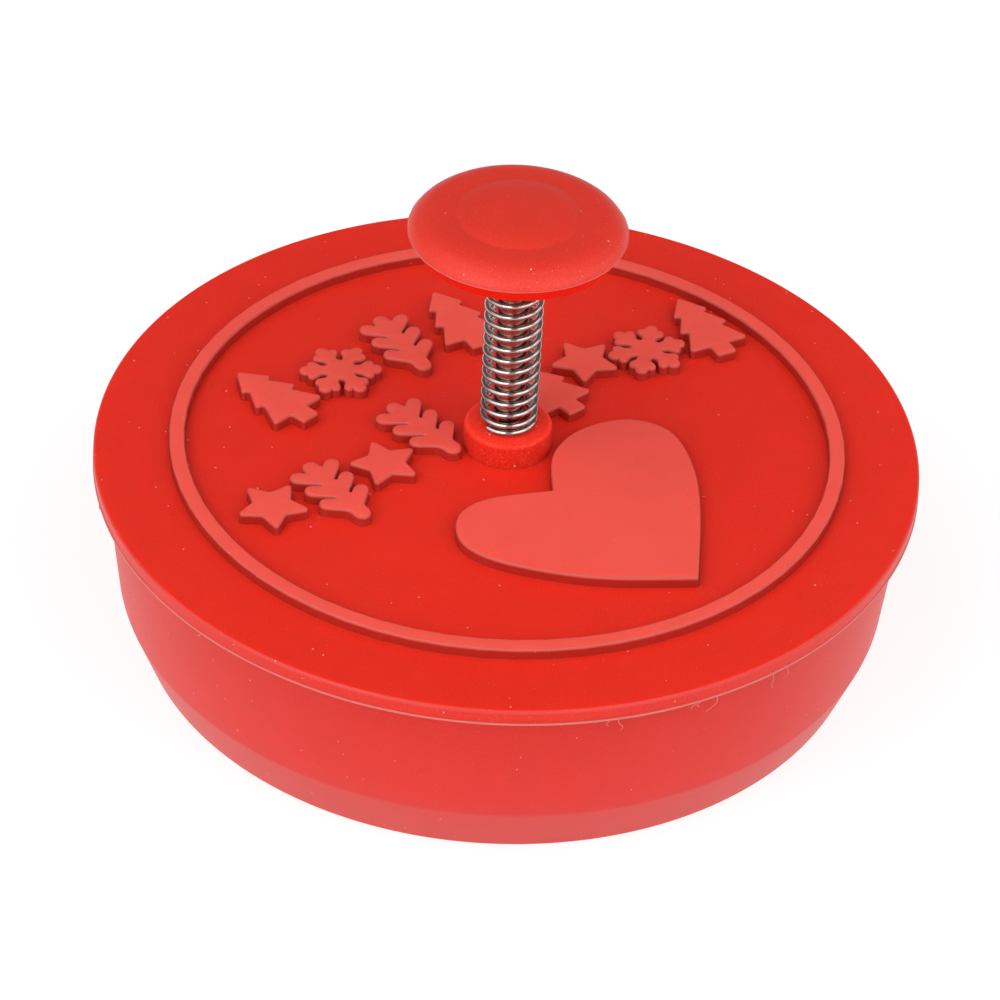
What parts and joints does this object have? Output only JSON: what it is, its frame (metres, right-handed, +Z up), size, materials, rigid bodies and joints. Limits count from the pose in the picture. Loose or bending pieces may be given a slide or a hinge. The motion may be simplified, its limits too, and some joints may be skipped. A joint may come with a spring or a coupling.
{
  "type": "cookie press",
  "caption": "Round red cookie cutter with a sprung plunger: pressing the knob pushes a patterned stamp plate down inside the cutting ring.",
  "frame": {"origin": "on the plunger's axis, in the plane of the cutting edge that the tool stands on", "axes": "+Z up along the plunger's axis, -Y towards the front, where the heart on the cover is, +X to the right seen from the front"},
  "size_m": [0.1, 0.1, 0.059],
  "materials": {
    "cover_red": "satin moulded",
    "bush_red": "satin moulded",
    "relief_red": "matt moulded",
    "knob_red": "matt, faintly dusty",
    "stamp_red": "satin moulded",
    "spring_wire": "polished drawn wire",
    "rod_steel": "polished",
    "steel": "plain zinc-plated",
    "brass": "turned and knurled",
    "rubber": "matt"
  },
  "bodies": {
    "housing": {"top_cover": "cover_red", "cutter_ring": "cover_red", "guide_bush": "bush_red", "bush_nut": "steel", "return_spring": "spring_wire", "raised_border": "relief_red", "raised_heart": "relief_red", "raised_tree_01": "relief_red", "raised_snowflake_02": "relief_red", "raised_sprig_03": "relief_red", "raised_tree_04": "relief_red", "raised_star_05": "relief_red", "raised_sprig_06": "relief_red", "raised_star_07": "relief_red", "raised_sprig_08": "relief_red", "raised_tree_09": "relief_red", "raised_star_10": "relief_red", "raised_snowflake_11": "relief_red", "raised_tree_12": "relief_red"},
    "slider": {"spring_washer": "steel"},
    "plunger": {"plunger_rod": "rod_steel", "knob": "knob_red", "knob_insert": "brass", "stamp_plate": "stamp_red", "plate_washer": "steel", "plate_nut": "steel", "stop_washer": "rubber"}
  },
  "joints": [
    {"name": "plunger_slide", "type": "slide", "parent": "housing", "child": "slider", "axis": [0, 0, -1], "range_m": [0, 0.011], "stiffness_N_per_m": 700, "springref_m": -0.0074, "deforming": ["return_spring"]},
    {"name": "plunger_spin", "type": "hinge", "parent": "slider", "child": "plunger", "pos_m": [0, 0, 0.052], "axis": [0, 0, 1], "continuous": true}
  ]
}
